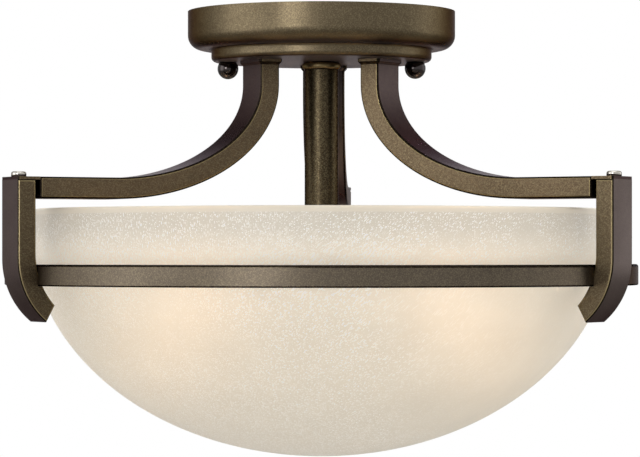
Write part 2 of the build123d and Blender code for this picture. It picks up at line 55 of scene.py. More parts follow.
def add_node(tree, kind, inputs, **settings):
    """Add a node; inputs gives each socket's value, or the socket that feeds it."""
    node = tree.nodes.new(kind)
    for name, value in settings.items():
        setattr(node, name, value)
    for name, value in inputs.items():
        if isinstance(value, bpy.types.NodeSocket):
            tree.links.new(value, node.inputs[name])
        else:
            node.inputs[name].default_value = value
    return node


scene = bpy.context.scene
scene.view_settings.view_transform = "Standard"

AMBIENT_STRENGTH = 0.66
room = bpy.data.worlds.new("white_room")
scene.world = room
room.use_nodes = True
tree = room.node_tree
tree.nodes.clear()
rays = add_node(tree, "ShaderNodeLightPath", {}).outputs
shiny = add_node(
    tree, "ShaderNodeMath", {0: rays["Is Glossy Ray"], 1: rays["Is Transmission Ray"]}, operation="MAXIMUM"
)
seen = add_node(tree, "ShaderNodeMath", {0: rays["Is Camera Ray"], 1: shiny.outputs[0]}, operation="MAXIMUM")
ambient = add_node(tree, "ShaderNodeBackground", {"Color": linear("#F4F2EE"), "Strength": AMBIENT_STRENGTH})
backdrop = add_node(tree, "ShaderNodeBackground", {"Color": linear("#FFFFFF"), "Strength": 1.0})
sky = add_node(
    tree, "ShaderNodeMixShader", {0: seen.outputs[0], 1: ambient.outputs[0], 2: backdrop.outputs[0]}
)
add_node(tree, "ShaderNodeOutputWorld", {"Surface": sky.outputs[0]})

AIM = Vector((0.0, 0.0, -0.11))
for name, place, width, height, power, lights_metal, lights_glass in (
    ("key_softbox", (-0.72, -1.75, 0.16), 0.55, 0.5, 9.4, True, False),
    ("side_softbox", (-1.7, -0.7, 0.1), 1.3, 1.4, 11.5, True, False),
    ("far_softbox", (1.6, 0.5, 0.15), 0.9, 1.2, 3.0, True, True),
    ("top_softbox", (0.0, -0.2, 1.7), 1.4, 1.0, 8.0, True, True),
    ("rear_softbox", (0.2, 1.9, 0.8), 1.6, 1.2, 9.0, True, True),
    ("front_softbox", (0.65, -1.7, -0.5), 2.8, 1.0, 9.0, False, True),
):
    lamp = bpy.data.lights.new(name, "AREA")
    lamp.shape = "RECTANGLE"
    lamp.size = width
    lamp.size_y = height
    lamp.energy = power
    stand = bpy.data.objects.new(name, lamp)
    stand.location = place
    stand.rotation_euler = (AIM - Vector(place)).to_track_quat("-Z", "Y").to_euler()
    stand.visible_glossy = lights_metal
    stand.visible_diffuse = lights_glass
    scene.collection.objects.link(stand)

# The camera's focal length and shifts are in pixels of the photograph, its place is in metres.
PHOTO_WIDTH = 640
FOCAL_LENGTH = 3078.5
SHIFT_ACROSS = -1.47
SHIFT_UP = 26.3
SENSOR_WIDTH = 36.0
CAMERA_DISTANCE = 1.6107
CAMERA_LEVEL = -0.127
CAMERA_TURN = radians(2.01)
lens = bpy.data.cameras.new("photo_camera")
lens.sensor_width = SENSOR_WIDTH
lens.lens = FOCAL_LENGTH * SENSOR_WIDTH / PHOTO_WIDTH
lens.shift_x = SHIFT_ACROSS / PHOTO_WIDTH
lens.shift_y = SHIFT_UP / PHOTO_WIDTH
camera = bpy.data.objects.new("photo_camera", lens)
camera.location = (CAMERA_DISTANCE * sin(CAMERA_TURN), -CAMERA_DISTANCE * cos(CAMERA_TURN), CAMERA_LEVEL)
camera.rotation_euler = (radians(90), 0, CAMERA_TURN)
scene.collection.objects.link(camera)
scene.camera = camera


def new_material(name):
    """Empty node material with one Principled shader; returns the material, its tree and the shader."""
    material = bpy.data.materials.new(name)
    material.use_nodes = True
    tree = material.node_tree
    tree.nodes.clear()
    shader = add_node(tree, "ShaderNodeBsdfPrincipled", {})
    add_node(tree, "ShaderNodeOutputMaterial", {"Surface": shader.outputs[0]})
    return material, tree, shader


# The floor is matt paint that turns to plain white for the camera, more so with distance, so no edge shows.
FLOOR_LEVEL = -2.9
FLOOR_REACH = 14.0
FADE_END = 3.8
NEAR_WHITE = 0.65
floor_paint, tree, shader = new_material("matt_floor_paint")
shader.inputs["Base Color"].default_value = linear("#EDEBE7")
shader.inputs["Roughness"].default_value = 0.9
rays = add_node(tree, "ShaderNodeLightPath", {}).outputs
place = add_node(tree, "ShaderNodeTexCoord", {}).outputs["Object"]
reach = add_node(tree, "ShaderNodeVectorMath", {0: place}, operation="LENGTH").outputs["Value"]
fade = add_node(tree, "ShaderNodeMapRange", {0: reach, 1: -FLOOR_LEVEL, 2: FADE_END, 3: NEAR_WHITE})
pale = add_node(tree, "ShaderNodeMath", {0: rays["Is Camera Ray"], 1: fade.outputs[0]}, operation="MULTIPLY")
lit = add_node(tree, "ShaderNodeEmission", {"Color": linear("#FFFFFF"), "Strength": 1.0})
seen = add_node(tree, "ShaderNodeMixShader", {0: pale.outputs[0], 1: shader.outputs[0], 2: lit.outputs[0]})
tree.links.new(seen.outputs[0], tree.nodes["Material Output"].inputs["Surface"])
bm = bmesh.new()
bmesh.ops.create_grid(bm, x_segments=2, y_segments=2, size=FLOOR_REACH)
bmesh.ops.translate(bm, vec=(0, 0, FLOOR_LEVEL), verts=bm.verts)
floor_mesh = bpy.data.meshes.new("floor")
bm.to_mesh(floor_mesh)
bm.free()
floor_mesh.materials.append(floor_paint)
floor = bpy.data.objects.new("floor", floor_mesh)
scene.collection.objects.link(floor)


# Hidden hardware: the mounting plate, studs, lock nuts, nipples, washers, screws and the socket strap.
# All are pressed or turned steel, zinc plated, so they are pale grey with a soft bluish and straw bloom.
def paint(material, *nodes):
    """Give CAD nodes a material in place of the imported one."""
    for name in nodes:
        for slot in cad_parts[name].material_slots:
            slot.material = material


def clouded(name, cloud_size, detail, dark, light, gloss=()):
    """Material with clouds of a size in mm, between two tones and, where given, two roughness values."""
    material, tree, shader = new_material(name)
    place = add_node(tree, "ShaderNodeTexCoord", {}).outputs["Object"]
    clouds = add_node(
        tree, "ShaderNodeTexNoise", {"Vector": place, "Scale": 1000 / cloud_size, "Detail": detail}
    ).outputs["Fac"]
    colour = add_node(
        tree, "ShaderNodeMix", {0: clouds, 6: linear(dark), 7: linear(light)}, data_type="RGBA"
    )
    tree.links.new(colour.outputs[2], shader.inputs["Base Color"])
    if gloss:
        polish = add_node(tree, "ShaderNodeMapRange", {0: clouds, 3: gloss[0], 4: gloss[1]})
        tree.links.new(polish.outputs[0], shader.inputs["Roughness"])
    return material, shader


BLOOM_SIZE = 9.0
GRAIN_SIZE = 0.7
GRAIN_RELIEF = 0.00005
zinc, shader = clouded("zinc_plated_steel", BLOOM_SIZE, 3.0, "#8E9498", "#B9B4A2")
tree = zinc.node_tree
place = add_node(tree, "ShaderNodeTexCoord", {}).outputs["Object"]
grain = add_node(
    tree, "ShaderNodeTexNoise", {"Vector": place, "Scale": 1000 / GRAIN_SIZE, "Detail": 2.0}
).outputs["Fac"]
polish = add_node(tree, "ShaderNodeMapRange", {0: grain, 3: 0.26, 4: 0.42})
relief = add_node(tree, "ShaderNodeBump", {"Height": grain, "Strength": 0.1, "Distance": GRAIN_RELIEF})
tree.links.new(polish.outputs[0], shader.inputs["Roughness"])
tree.links.new(relief.outputs[0], shader.inputs["Normal"])
shader.inputs["Metallic"].default_value = 1.0
paint(zinc, "mounting_plate", "canopy_studs", "stud_lock_nuts", "upper_nipple", "lower_nipple")
paint(zinc, "nipple_lock_washer", "nipple_lock_nut", "strap_lock_nut", "arm_screws", "arm_washers")
paint(zinc, "socket_strap", "lampholder_screws")

# Ground screw: the green lacquered screw that every mounting plate carries for the earth wire.
# The lacquer is thin and glossy over steel and a little uneven.
POOL_SIZE = 2.0
lacquer, shader = clouded("green_lacquer", POOL_SIZE, 2.0, "#1F5A2E", "#3C8A4C")
shader.inputs["Metallic"].default_value = 0.4
shader.inputs["Roughness"].default_value = 0.3
paint(lacquer, "ground_screw")

# Canopy, stem and ring: spun and rolled steel, sprayed dark bronze with gold flake under a satin clear coat.
# Upright faces are olive brown with a fine sparkle. Level faces are painted grey, a painted reflection of
# what lies around them, and rounded edges are painted dark, painted shade.
# Real flake is finer than a tenth of a millimetre; it is drawn coarser so that it shows.
FLAKE_SIZE = 0.4
FLAKE_SHARE = 0.14
FLAKE_RELIEF = 0.00004
LEAST_FLAKE_SHARE = 0.3
SHADE_SIZE = 35.0
SHADE_DARK, SHADE_LIGHT = 0.88, 1.12
SATIN_LOW, SATIN_HIGH = 0.31, 0.46


def flake_bronze(name, across, tones, plain, flecked):
    """Bronze whose tones, with painted shade, painted reflection and painted glint, go by how squarely a face
    looks along across; flake fades in from plain to flecked.
    """
    material, tree, shader = new_material(name)
    place = add_node(tree, "ShaderNodeTexCoord", {}).outputs["Object"]
    facing = add_node(tree, "ShaderNodeNewGeometry", {}).outputs["Normal"]
    along = add_node(tree, "ShaderNodeVectorMath", {0: facing, 1: across}, operation="DOT_PRODUCT")
    square = add_node(tree, "ShaderNodeMath", {0: along.outputs["Value"]}, operation="ABSOLUTE").outputs[0]
    # The tones by facing hold the bronze's own colour together with painted shade, painted reflection and
    # painted glint.
    ramp = add_node(tree, "ShaderNodeValToRGB", {0: square})
    stops = ramp.color_ramp.elements
    while len(stops) < len(tones):
        stops.new(0.5)
    for stop, (position, tone) in zip(stops, tones):
        stop.position = position
        stop.color = linear(tone)
    patch = add_node(tree, "ShaderNodeTexNoise", {"Vector": place, "Scale": 1000 / SHADE_SIZE, "Detail": 2.0})
    shade = add_node(
        tree, "ShaderNodeMapRange", {0: patch.outputs["Fac"], 1: 0.3, 2: 0.7, 3: SHADE_DARK, 4: SHADE_LIGHT}
    )
    ground = add_node(
        tree, "ShaderNodeVectorMath", {0: ramp.outputs[0], 3: shade.outputs[0]}, operation="SCALE"
    )
    grain = add_node(tree, "ShaderNodeTexVoronoi", {"Vector": place, "Scale": 1000 / FLAKE_SIZE})
    chance = add_node(tree, "ShaderNodeSeparateColor", {0: grain.outputs["Color"]}).outputs
    fleck = add_node(tree, "ShaderNodeMapRange", {0: chance[0], 1: 0.4, 4: FLAKE_SHARE})
    # The flake is real, but its share by facing is painted light: flake is full where faces read lit and thin
    # where they are painted grey.
    flake_by_facing = add_node(tree, "ShaderNodeMapRange", {0: square, 1: plain, 2: flecked, 3: LEAST_FLAKE_SHARE})
    gold = add_node(
        tree, "ShaderNodeMath", {0: fleck.outputs[0], 1: flake_by_facing.outputs[0]}, operation="MULTIPLY"
    )
    colour = add_node(
        tree,
        "ShaderNodeMix",
        {0: gold.outputs[0], 6: ground.outputs[0], 7: linear("#BCAE88")},
        data_type="RGBA",
    )
    satin = add_node(tree, "ShaderNodeMapRange", {0: chance[1], 3: SATIN_LOW, 4: SATIN_HIGH})
    relief = add_node(
        tree, "ShaderNodeBump", {"Height": chance[0], "Strength": 0.12, "Distance": FLAKE_RELIEF}
    )
    tree.links.new(colour.outputs[2], shader.inputs["Base Color"])
    tree.links.new(satin.outputs[0], shader.inputs["Roughness"])
    tree.links.new(relief.outputs[0], shader.inputs["Normal"])
    shader.inputs["Metallic"].default_value = 1.0
    shader.inputs["Specular Tint"].default_value = linear("#8C868C")
    return material


# Painted light in these tones: the canopy's lower round is painted darker, painted shade, and its level faces
# lavender grey, a painted reflection of the bowl and floor below.
canopy_colour_and_painted_light = (
    (0.0, "#544A3A"), (0.62, "#544A3A"), (0.86, "#3C342D"), (0.97, "#5A5250"), (1.0, "#7C7372"),
)
# The collar is painted lighter on its upright face, a painted highlight, and near black on its rounds and
# level faces, painted shade under the canopy.
collar_colour_and_painted_light = ((0.0, "#6E6044"), (0.55, "#5A4E38"), (0.85, "#241D19"), (1.0, "#241D19"))
# The stem is painted near black on its rounds, painted shade, and grey on its level faces, a painted
# reflection.
stem_colour_and_painted_light = ((0.0, "#352D21"), (0.30, "#30281E"), (0.60, "#1A1411"), (1.0, "#3A3330"))
# The ring is painted near black on its top and bottom rounds, painted shade, and grey on its level faces, a
# painted reflection.
ring_colour_and_painted_light = (
    (0.0, "#534B42"), (0.14, "#4B4339"), (0.22, "#140F0D"),
    (0.90, "#1E1814"), (0.98, "#5F5756"), (1.0, "#6A6261"),
)
UP = (0, 0, 1)
paint(flake_bronze("flake_bronze_canopy", UP, canopy_colour_and_painted_light, 0.7, 0.2), "canopy")
paint(flake_bronze("flake_bronze_collar", UP, collar_colour_and_painted_light, 0.9, 0.5), "stem_collar")
paint(flake_bronze("flake_bronze_ring", UP, ring_colour_and_painted_light, 0.5, 0.2), "ring")
paint(flake_bronze("flake_bronze_stem", UP, stem_colour_and_painted_light, 0.5, 0.2), "stem_tube")

# Arms and posts: flat steel bars, bent and sprayed with the same bronze.
# The narrow sides keep the gold flake. The broad faces are painted a plain purplish grey, a painted
# reflection, and at the rounded edges a painted dark line, painted shade, and a painted gold glint part them.
# Arm tones: the purplish grey broad faces are a painted reflection, the near black band is painted shade and
# the gold stops are a painted glint.
arm_colour_and_painted_light = (
    (0.0, "#4C4443"), (0.20, "#463E3D"), (0.30, "#140F0D"), (0.92, "#140F0D"),
    (0.95, "#8A7A55"), (0.97, "#6E6147"), (0.985, "#4F4334"), (1.0, "#4F4334"),
)
# Post tones: the same painted reflection and painted shade, with a brighter painted glint.
post_colour_and_painted_light = (
    (0.0, "#625B58"), (0.20, "#5C5552"), (0.30, "#140F0D"), (0.76, "#140F0D"),
    (0.84, "#A39470"), (0.93, "#7C6E50"), (0.98, "#4C4132"), (1.0, "#4C4132"),
)
for side, azimuth in (("right", -30), ("rear", 90), ("left", 210)):
    across = (-sin(radians(azimuth)), cos(radians(azimuth)), 0)
    paint(flake_bronze("flake_bronze_arm_" + side, across, arm_colour_and_painted_light, 0.93, 0.99), side + "_arm")
    paint(flake_bronze("flake_bronze_post_" + side, across, post_colour_and_painted_light, 0.93, 0.99), side + "_post")

# Ball nuts: turned and polished steel balls in the darkest bronze, clear lacquered, screwed to the canopy.
# They are nearly black and mirror smooth, so the lamps show in them as small white points.
HAZE_SIZE = 3.0
ball_bronze, shader = clouded("polished_dark_bronze", HAZE_SIZE, 2.0, "#241E1E", "#2E2726", (0.16, 0.24))
shader.inputs["Metallic"].default_value = 1.0
shader.inputs["Specular Tint"].default_value = linear("#5A5050")
shader.inputs["Coat Weight"].default_value = 0.5
shader.inputs["Coat Roughness"].default_value = 0.04
paint(ball_bronze, "left_ball_nut", "right_ball_nut")


# Post and ring screws: nickel plated pan heads that hold the posts to the arms and the ring to the posts.
# Nickel is a little warmer than chrome, with a faint haze; the post screws' cross recesses show from above.
def new_piece(name, bm, material, body, *nodes):
    """Finish a bmesh as a smooth-shaded piece that rides on a body and stands for some CAD nodes."""
    mesh = bpy.data.meshes.new(name)
    bm.to_mesh(mesh)
    bm.free()
    mesh.materials.append(material)
    piece = bpy.data.objects.new(name, mesh)
    scene.collection.objects.link(piece)
    mesh.shade_smooth()
    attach(piece, body)
    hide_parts(*nodes)
    return piece


PLATING_SIZE = 1.5
nickel, shader = clouded("bright_nickel", PLATING_SIZE, 3.0, "#A09C95", "#C6C2BA", (0.10, 0.24))
shader.inputs["Metallic"].default_value = 1.0
shader.inputs["Specular Tint"].default_value = linear("#6E6A66")
paint(nickel, "ring_screws")

POST_MIDDLE = 0.17045
HEAD_RADIUS = 0.0038
HEAD_HEIGHT = 0.0027
CROWN_ROUND = 0.45 * HEAD_HEIGHT
SHANK_RADIUS = 0.002
RECESS_LENGTH = 0.0019
RECESS_WIDTH = 0.0005
RECESS_DEPTH = 0.0013
screw_foot, screw_top = (corner[2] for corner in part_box("post_screws"))
bm = bmesh.new()
bmesh.ops.create_cone(
    bm, cap_ends=True, segments=48, radius1=HEAD_RADIUS, radius2=HEAD_RADIUS, depth=HEAD_HEIGHT
)
bmesh.ops.bevel(
    bm,
    geom=[e for e in bm.edges if all(v.co.z > 0 for v in e.verts)],
    offset=CROWN_ROUND,
    offset_type="OFFSET",
    segments=6,
    profile=0.5,
    affect="EDGES",
    material=-1,
)
for reach in (-RECESS_LENGTH, -RECESS_WIDTH, RECESS_WIDTH, RECESS_LENGTH):
    for normal in (Vector((1, 0, 0)), Vector((0, 1, 0))):
        whole = bm.verts[:] + bm.edges[:] + bm.faces[:]
        bmesh.ops.bisect_plane(bm, geom=whole, dist=1e-7, plane_co=normal * reach, plane_no=normal)
cross = []
for face in bm.faces:
    x, y = face.calc_center_median().xy
    across_slot, along_slot = sorted((abs(x), abs(y)))
    if face.normal.z > 0.99 and across_slot < RECESS_WIDTH and along_slot < RECESS_LENGTH:
        cross.append(face)
pressed = bmesh.ops.extrude_face_region(bm, geom=cross)["geom"]
recess_floor = [v for v in pressed if isinstance(v, bmesh.types.BMVert)]
bmesh.ops.translate(bm, vec=(0, 0, -RECESS_DEPTH), verts=recess_floor)
bmesh.ops.translate(bm, vec=(0, 0, screw_top - HEAD_HEIGHT / 2), verts=bm.verts)
shank_length = screw_top - HEAD_HEIGHT - screw_foot
shank = bmesh.ops.create_cone(
    bm, cap_ends=True, segments=24, radius1=SHANK_RADIUS, radius2=SHANK_RADIUS, depth=shank_length
)
bmesh.ops.translate(bm, vec=(0, 0, screw_foot + shank_length / 2), verts=shank["verts"])
bmesh.ops.translate(bm, vec=(0, POST_MIDDLE, 0), verts=bm.verts)
one_screw = bm.verts[:] + bm.edges[:] + bm.faces[:]
for turn in (120, 240):
    copy = bmesh.ops.duplicate(bm, geom=one_screw)["geom"]
    copy_verts = [v for v in copy if isinstance(v, bmesh.types.BMVert)]
    bmesh.ops.rotate(bm, cent=(0, 0, 0), matrix=Matrix.Rotation(radians(turn), 3, "Z"), verts=copy_verts)
screws = new_piece("cross_head_screws", bm, nickel, "fixture", "post_screws")

# Glass bowl: blown cream glass, etched and powdered so that light spreads in it, with a plain polished rim.
# White specks and short strokes lie under the rim, slanted on the right and upright on the left. Finer
# strokes comb the dome, most at its middle and foot. The glass is painted with a faint glow, strongest at the
# lamps' level, a painted glow for the bulbs' light spreading in it.
BOWL_RADIUS = 0.152
BOWL_DOME = 0.1176
BOWL_BAND = 0.011
BOWL_LEVEL = -0.1144
BOWL_WALL = 0.004
RIM_ROUND = 0.0018
LAMP_LEVEL = -0.135
# Reach and strengths of the painted glow.
GLOW_REACH = 0.028
GLOW_MOST, GLOW_LEAST = 0.28, 0.18

# Pattern sizes in mm, and the levels in m between which each layer fades in.
CLOUD_SIZE = 22.0
SPECK_SPACING = 1.15
STROKE_WIDTH = 0.9
STROKE_LENGTH = 3.4
FIBRE_WIDTH = 0.75
FIBRE_LENGTH = 6.5
SAND_SPACING = 1.0
PATCH_SIZE = 38.0
PATCH_SWAY = 0.018
POWDER_FROM, POWDER_FULL = -0.137, -0.119
MARKS_FROM, MARKS_FULL = -0.1062, -0.1068
COMBED_FROM, COMBED_FULL = -0.112, -0.136
FOOT_FROM, FOOT_FULL = -0.152, -0.190
GREY_BELOW_RIM_FROM, GREY_BELOW_RIM_FULL = -0.126, -0.114
# Levels between which the painted shade at the foot fades in.
FOOT_SHADE_FROM, FOOT_SHADE_FULL = -0.188, -0.234

bowl_glass, tree, shader = new_material("cream_scavo_glass")
place = add_node(tree, "ShaderNodeTexCoord", {}).outputs["Object"]
axes = add_node(tree, "ShaderNodeSeparateXYZ", {0: place}).outputs
height = axes["Z"]
angle = add_node(tree, "ShaderNodeMath", {0: axes["Y"], 1: axes["X"]}, operation="ARCTAN2")
girth = add_node(tree, "ShaderNodeMath", {0: angle.outputs[0], 1: BOWL_RADIUS}, operation="MULTIPLY")
unrolled = add_node(tree, "ShaderNodeCombineXYZ", {0: girth.outputs[0], 1: height}).outputs[0]
cloud = add_node(
    tree, "ShaderNodeTexNoise", {"Vector": place, "Scale": 1000 / CLOUD_SIZE, "Detail": 2.0}
).outputs["Fac"]

# Powder under the rim: specks all round, slanted strokes on the right and upright ones on the left.
layers = []
for slant, width, length, from_x, to_x in (
    (0, SPECK_SPACING, SPECK_SPACING, -1.0, -0.9),
    (-50, STROKE_WIDTH, STROKE_LENGTH, -0.05, 0.03),
    (8, STROKE_WIDTH, STROKE_LENGTH, 0.02, -0.06),
):
    lattice = add_node(
        tree,
        "ShaderNodeMapping",
        {
            "Vector": unrolled,
            "Location": (length, slant, 0),
            "Rotation": (0, 0, radians(slant)),
            "Scale": (width / 1000, length / 1000, 1),
        },
        vector_type="TEXTURE",
    )
    powder = add_node(
        tree, "ShaderNodeTexVoronoi", {"Vector": lattice.outputs[0], "Scale": 1.0}, voronoi_dimensions="2D"
    ).outputs
    chance = add_node(tree, "ShaderNodeSeparateColor", {0: powder["Color"]})
    size = add_node(tree, "ShaderNodeMapRange", {0: chance.outputs[0], 1: 0.15, 3: 0.06, 4: 0.30}).outputs[0]
    inside = add_node(tree, "ShaderNodeMath", {0: size, 1: powder["Distance"]}, operation="SUBTRACT")
    crisp = add_node(tree, "ShaderNodeMapRange", {0: inside.outputs[0], 2: 0.08})
    here = add_node(tree, "ShaderNodeMapRange", {0: axes["X"], 1: from_x, 2: to_x})
    layer = add_node(tree, "ShaderNodeMath", {0: crisp.outputs[0], 1: here.outputs[0]}, operation="MULTIPLY")
    layers.append(layer.outputs[0])
strokes = add_node(tree, "ShaderNodeMath", {0: layers[1], 1: layers[2]}, operation="MAXIMUM")
powdered = add_node(tree, "ShaderNodeMath", {0: layers[0], 1: strokes.outputs[0]}, operation="MAXIMUM")
band = add_node(tree, "ShaderNodeMapRange", {0: height, 1: POWDER_FROM, 2: POWDER_FULL})
dusted = add_node(tree, "ShaderNodeMapRange", {0: cloud, 1: 0.20, 2: 0.42})
where = add_node(tree, "ShaderNodeMath", {0: band.outputs[0], 1: dusted.outputs[0]}, operation="MULTIPLY")
dust = add_node(tree, "ShaderNodeMath", {0: powdered.outputs[0], 1: where.outputs[0]}, operation="MULTIPLY")

# Combed dome: three layers of leaning strokes and one of sand, worked over the bowl in uneven patches.
combed = 0.0
for lean, width, length, least, most in (
    (38, FIBRE_WIDTH, FIBRE_LENGTH, 0.16, 1.0),
    (52, FIBRE_WIDTH, FIBRE_LENGTH, 0.16, 0.9),
    (-14, FIBRE_WIDTH, FIBRE_LENGTH, 0.16, 0.6),
    (0, SAND_SPACING, SAND_SPACING, 0.06, 0.6),
):
    drawn = add_node(
        tree,
        "ShaderNodeMapping",
        {
            "Vector": place,
            "Location": (lean / 1000, length, 0),
            "Rotation": (0, radians(lean), 0),
            "Scale": (width / 1000, width / 1000, length / 1000),
        },
        vector_type="TEXTURE",
    )
    fibre = add_node(tree, "ShaderNodeTexVoronoi", {"Vector": drawn.outputs[0], "Scale": 1.0}).outputs
    chance = add_node(tree, "ShaderNodeSeparateColor", {0: fibre["Color"]})
    size = add_node(tree, "ShaderNodeMapRange", {0: chance.outputs[0], 1: 0.1, 3: least, 4: 0.37}).outputs[0]
    inside = add_node(tree, "ShaderNodeMath", {0: size, 1: fibre["Distance"]}, operation="SUBTRACT")
    fine = add_node(tree, "ShaderNodeMapRange", {0: inside.outputs[0], 2: 0.10, 4: most})
    combed = add_node(tree, "ShaderNodeMath", {0: fine.outputs[0], 1: combed}, operation="MAXIMUM").outputs[0]
drift = add_node(tree, "ShaderNodeTexNoise", {"Vector": place, "Scale": 1000 / PATCH_SIZE, "Detail": 2.0})
sway = add_node(
    tree, "ShaderNodeMapRange", {0: drift.outputs["Fac"], 1: 0.3, 2: 0.7, 3: -PATCH_SWAY, 4: PATCH_SWAY}
)
strayed = add_node(tree, "ShaderNodeMath", {0: axes["X"], 1: sway.outputs[0]}, operation="ADD").outputs[0]
across = add_node(tree, "ShaderNodeMapRange", {0: strayed, 1: -BOWL_RADIUS, 2: BOWL_RADIUS})
worked = add_node(tree, "ShaderNodeValToRGB", {0: across.outputs[0]})
shares = (
    (0.0, 1.0), (0.14, 0.8), (0.25, 0.3), (0.36, 0.55), (0.44, 1.0), (0.58, 1.0), (0.70, 0.35), (0.82, 0.1),
)
stops = worked.color_ramp.elements
while len(stops) < len(shares):
    stops.new(0.5)
for stop, (position, share) in zip(stops, shares):
    stop.position = position
    stop.color = (share, share, share, 1)
low = add_node(tree, "ShaderNodeMapRange", {0: height, 1: FOOT_FROM, 2: FOOT_FULL})
leftward = add_node(tree, "ShaderNodeMapRange", {0: strayed, 1: 0.08, 2: 0.02})
foot = add_node(tree, "ShaderNodeMath", {0: low.outputs[0], 1: leftward.outputs[0]}, operation="MULTIPLY")
rubbed = add_node(tree, "ShaderNodeMath", {0: worked.outputs[0], 1: foot.outputs[0]}, operation="MAXIMUM")
below = add_node(tree, "ShaderNodeMapRange", {0: height, 1: COMBED_FROM, 2: COMBED_FULL, 3: 0.15}).outputs[0]
etched = add_node(tree, "ShaderNodeMath", {0: combed, 1: rubbed.outputs[0]}, operation="MULTIPLY")
ground_in = add_node(tree, "ShaderNodeMath", {0: etched.outputs[0], 1: below}, operation="MULTIPLY")

# White marks on milky glass. The glass is greyer just under the rim; a little grey on the rim is painted
# shade, and the grey towards the foot is painted shade where less light reaches the bowl from below.
marks = add_node(tree, "ShaderNodeMath", {0: dust.outputs[0], 1: ground_in.outputs[0]}, operation="MAXIMUM")
under_rim = add_node(tree, "ShaderNodeMapRange", {0: height, 1: MARKS_FROM, 2: MARKS_FULL}).outputs[0]
white = add_node(tree, "ShaderNodeMath", {0: marks.outputs[0], 1: under_rim}, operation="MULTIPLY").outputs[0]
milk = add_node(
    tree, "ShaderNodeMix", {0: cloud, 6: linear("#D9D2C5"), 7: linear("#E3DDD1")}, data_type="RGBA"
)
grey_below_rim = add_node(tree, "ShaderNodeMapRange", {0: height, 1: GREY_BELOW_RIM_FROM, 2: GREY_BELOW_RIM_FULL, 4: 0.75})
# The rim takes a small share of the grey: painted shade that tones down the lamps on it.
rolled = add_node(tree, "ShaderNodeMapRange", {0: under_rim, 3: 0.15})
upper = add_node(tree, "ShaderNodeMath", {0: grey_below_rim.outputs[0], 1: rolled.outputs[0]}, operation="MULTIPLY")
# Painted shade: the glass turns greyer towards the foot, where less light comes from below.
foot_shade = add_node(tree, "ShaderNodeMapRange", {0: height, 1: FOOT_SHADE_FROM, 2: FOOT_SHADE_FULL, 4: 0.5})
greyed = add_node(tree, "ShaderNodeMath", {0: upper.outputs[0], 1: foot_shade.outputs[0]}, operation="MAXIMUM")
body = add_node(
    tree,
    "ShaderNodeMix",
    {0: greyed.outputs[0], 6: milk.outputs[2], 7: linear("#C9C4BA")},
    data_type="RGBA",
)
colour = add_node(
    tree, "ShaderNodeMix", {0: white, 6: body.outputs[2], 7: linear("#FFFFFE")}, data_type="RGBA"
)
relief = add_node(tree, "ShaderNodeBump", {"Height": white, "Strength": 0.3, "Distance": 0.0001})
# Painted glow: emission on the glass, strongest at the lamps' level, stands in for the bulbs' light spreading
# in it.
drop = add_node(tree, "ShaderNodeMath", {0: height, 1: LAMP_LEVEL}, operation="SUBTRACT")
away = add_node(tree, "ShaderNodeMath", {0: drop.outputs[0]}, operation="ABSOLUTE")
painted_glow = add_node(
    tree, "ShaderNodeMapRange", {0: away.outputs[0], 2: GLOW_REACH, 3: GLOW_MOST, 4: GLOW_LEAST}
)
tree.links.new(colour.outputs[2], shader.inputs["Base Color"])
tree.links.new(colour.outputs[2], shader.inputs["Emission Color"])
tree.links.new(painted_glow.outputs[0], shader.inputs["Emission Strength"])
tree.links.new(relief.outputs[0], shader.inputs["Normal"])
shader.inputs["Roughness"].default_value = 0.48
shader.inputs["IOR"].default_value = 1.5
shader.inputs["Specular IOR Level"].default_value = 0.3
shader.inputs["Transmission Weight"].default_value = 0.42

bm = bmesh.new()
bmesh.ops.create_uvsphere(bm, u_segments=144, v_segments=96, radius=1.0)
bmesh.ops.scale(bm, vec=(BOWL_RADIUS, BOWL_RADIUS, BOWL_DOME), verts=bm.verts)
whole = bm.verts[:] + bm.edges[:] + bm.faces[:]
bmesh.ops.bisect_plane(bm, geom=whole, dist=1e-6, plane_co=(0, 0, 0), plane_no=(0, 0, 1), clear_outer=True)
lip = bmesh.ops.extrude_edge_only(bm, edges=[e for e in bm.edges if e.is_boundary])["geom"]
lip_verts = [v for v in lip if isinstance(v, bmesh.types.BMVert)]
bmesh.ops.translate(bm, vec=(0, 0, BOWL_BAND), verts=lip_verts)
bmesh.ops.translate(bm, vec=(0, 0, BOWL_LEVEL), verts=bm.verts)
bmesh.ops.recalc_face_normals(bm, faces=bm.faces)
bmesh.ops.solidify(bm, geom=bm.faces[:], thickness=BOWL_WALL)
rim_level = BOWL_LEVEL + BOWL_BAND - 1e-5
rim_edges = [
    e for e in bm.edges if all(v.co.z > rim_level for v in e.verts) and e.calc_face_angle(0) > radians(60)
]
bmesh.ops.bevel(
    bm,
    geom=rim_edges,
    offset=RIM_ROUND,
    offset_type="OFFSET",
    segments=5,
    profile=0.5,
    affect="EDGES",
    material=-1,
)
bowl = new_piece("frosted_bowl", bm, bowl_glass, "glass_bowl", "glass_bowl")

# Lampholders: pressed porcelain, glazed white, with rolled brass screw shells and centre contacts inside.
# The glaze is glossy and slightly uneven, and the brass has darker patches of tarnish.
GLAZE_SIZE = 14.0
porcelain, shader = clouded("white_glaze", GLAZE_SIZE, 2.0, "#E6E3DA", "#F3F1EA")
shader.inputs["Roughness"].default_value = 0.15
paint(porcelain, "left_lampholder", "right_lampholder")

TARNISH_SIZE = 5.0
brass, shader = clouded("rolled_brass", TARNISH_SIZE, 3.0, "#A8823C", "#D9B563")
shader.inputs["Metallic"].default_value = 1.0
shader.inputs["Roughness"].default_value = 0.28
paint(brass, "left_socket_shell", "right_socket_shell", "left_socket_contact", "right_socket_contact")

